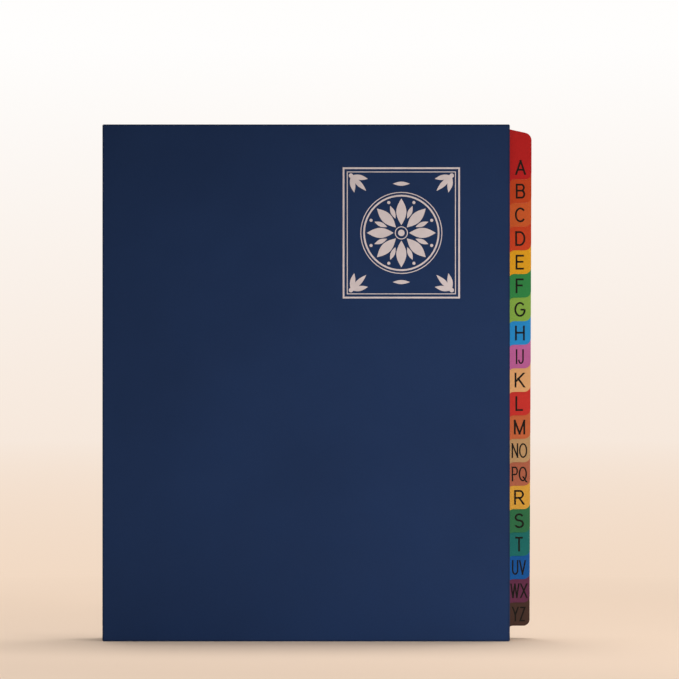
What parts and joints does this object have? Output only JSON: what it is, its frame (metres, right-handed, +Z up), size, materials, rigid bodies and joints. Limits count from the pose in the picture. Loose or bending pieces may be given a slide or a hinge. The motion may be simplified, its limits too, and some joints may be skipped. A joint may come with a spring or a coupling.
{
  "type": "accordion file organizer",
  "caption": "A book-like alphabetical paper sorter: coloured tabbed index cards held in an accordion-folded spine between two stiff hinged covers, standing upright.",
  "frame": {"origin": "on the floor, under the middle of the whole sorter as it stands upright", "axes": "+Z is up along the covers' height, +Y points from the front cover to the back cover, and +X points from the spine to the tabs"},
  "size_m": [0.2488, 0.038, 0.2997],
  "materials": {
    "cover_navy": "matte",
    "bellows_navy": "matte",
    "index_ink": "matte",
    "cover_foil": "satin",
    "card_a": "satin",
    "card_b": "satin",
    "card_c": "satin",
    "card_d": "satin",
    "card_e": "satin",
    "card_f": "satin",
    "card_g": "satin",
    "card_h": "satin",
    "card_ij": "satin",
    "card_k": "satin",
    "card_l": "satin",
    "card_m": "satin",
    "card_no": "satin",
    "card_pq": "satin",
    "card_r": "satin",
    "card_s": "satin",
    "card_t": "satin",
    "card_uv": "satin",
    "card_wx": "satin",
    "card_yz": "satin"
  },
  "bodies": {
    "file_block": {"spine_bellows": "bellows_navy", "divider_a": "card_a", "divider_b": "card_b", "divider_c": "card_c", "divider_d": "card_d", "divider_e": "card_e", "divider_f": "card_f", "divider_g": "card_g", "divider_h": "card_h", "divider_ij": "card_ij", "divider_k": "card_k", "divider_l": "card_l", "divider_m": "card_m", "divider_no": "card_no", "divider_pq": "card_pq", "divider_r": "card_r", "divider_s": "card_s", "divider_t": "card_t", "divider_uv": "card_uv", "divider_wx": "card_wx", "divider_yz": "card_yz"},
    "front_cover": {"front_cover": "cover_navy"},
    "back_cover": {"back_cover": "cover_navy"}
  },
  "joints": [
    {"name": "front_cover_hinge", "type": "hinge", "parent": "file_block", "child": "front_cover", "pos_m": [-0.12445, -0.0165, 0.14985], "axis": [0, 0, -1], "range_deg": [0, 180]},
    {"name": "back_cover_hinge", "type": "hinge", "parent": "file_block", "child": "back_cover", "pos_m": [-0.12445, 0.0165, 0.14985], "axis": [0, 0, 1], "range_deg": [0, 180]}
  ]
}
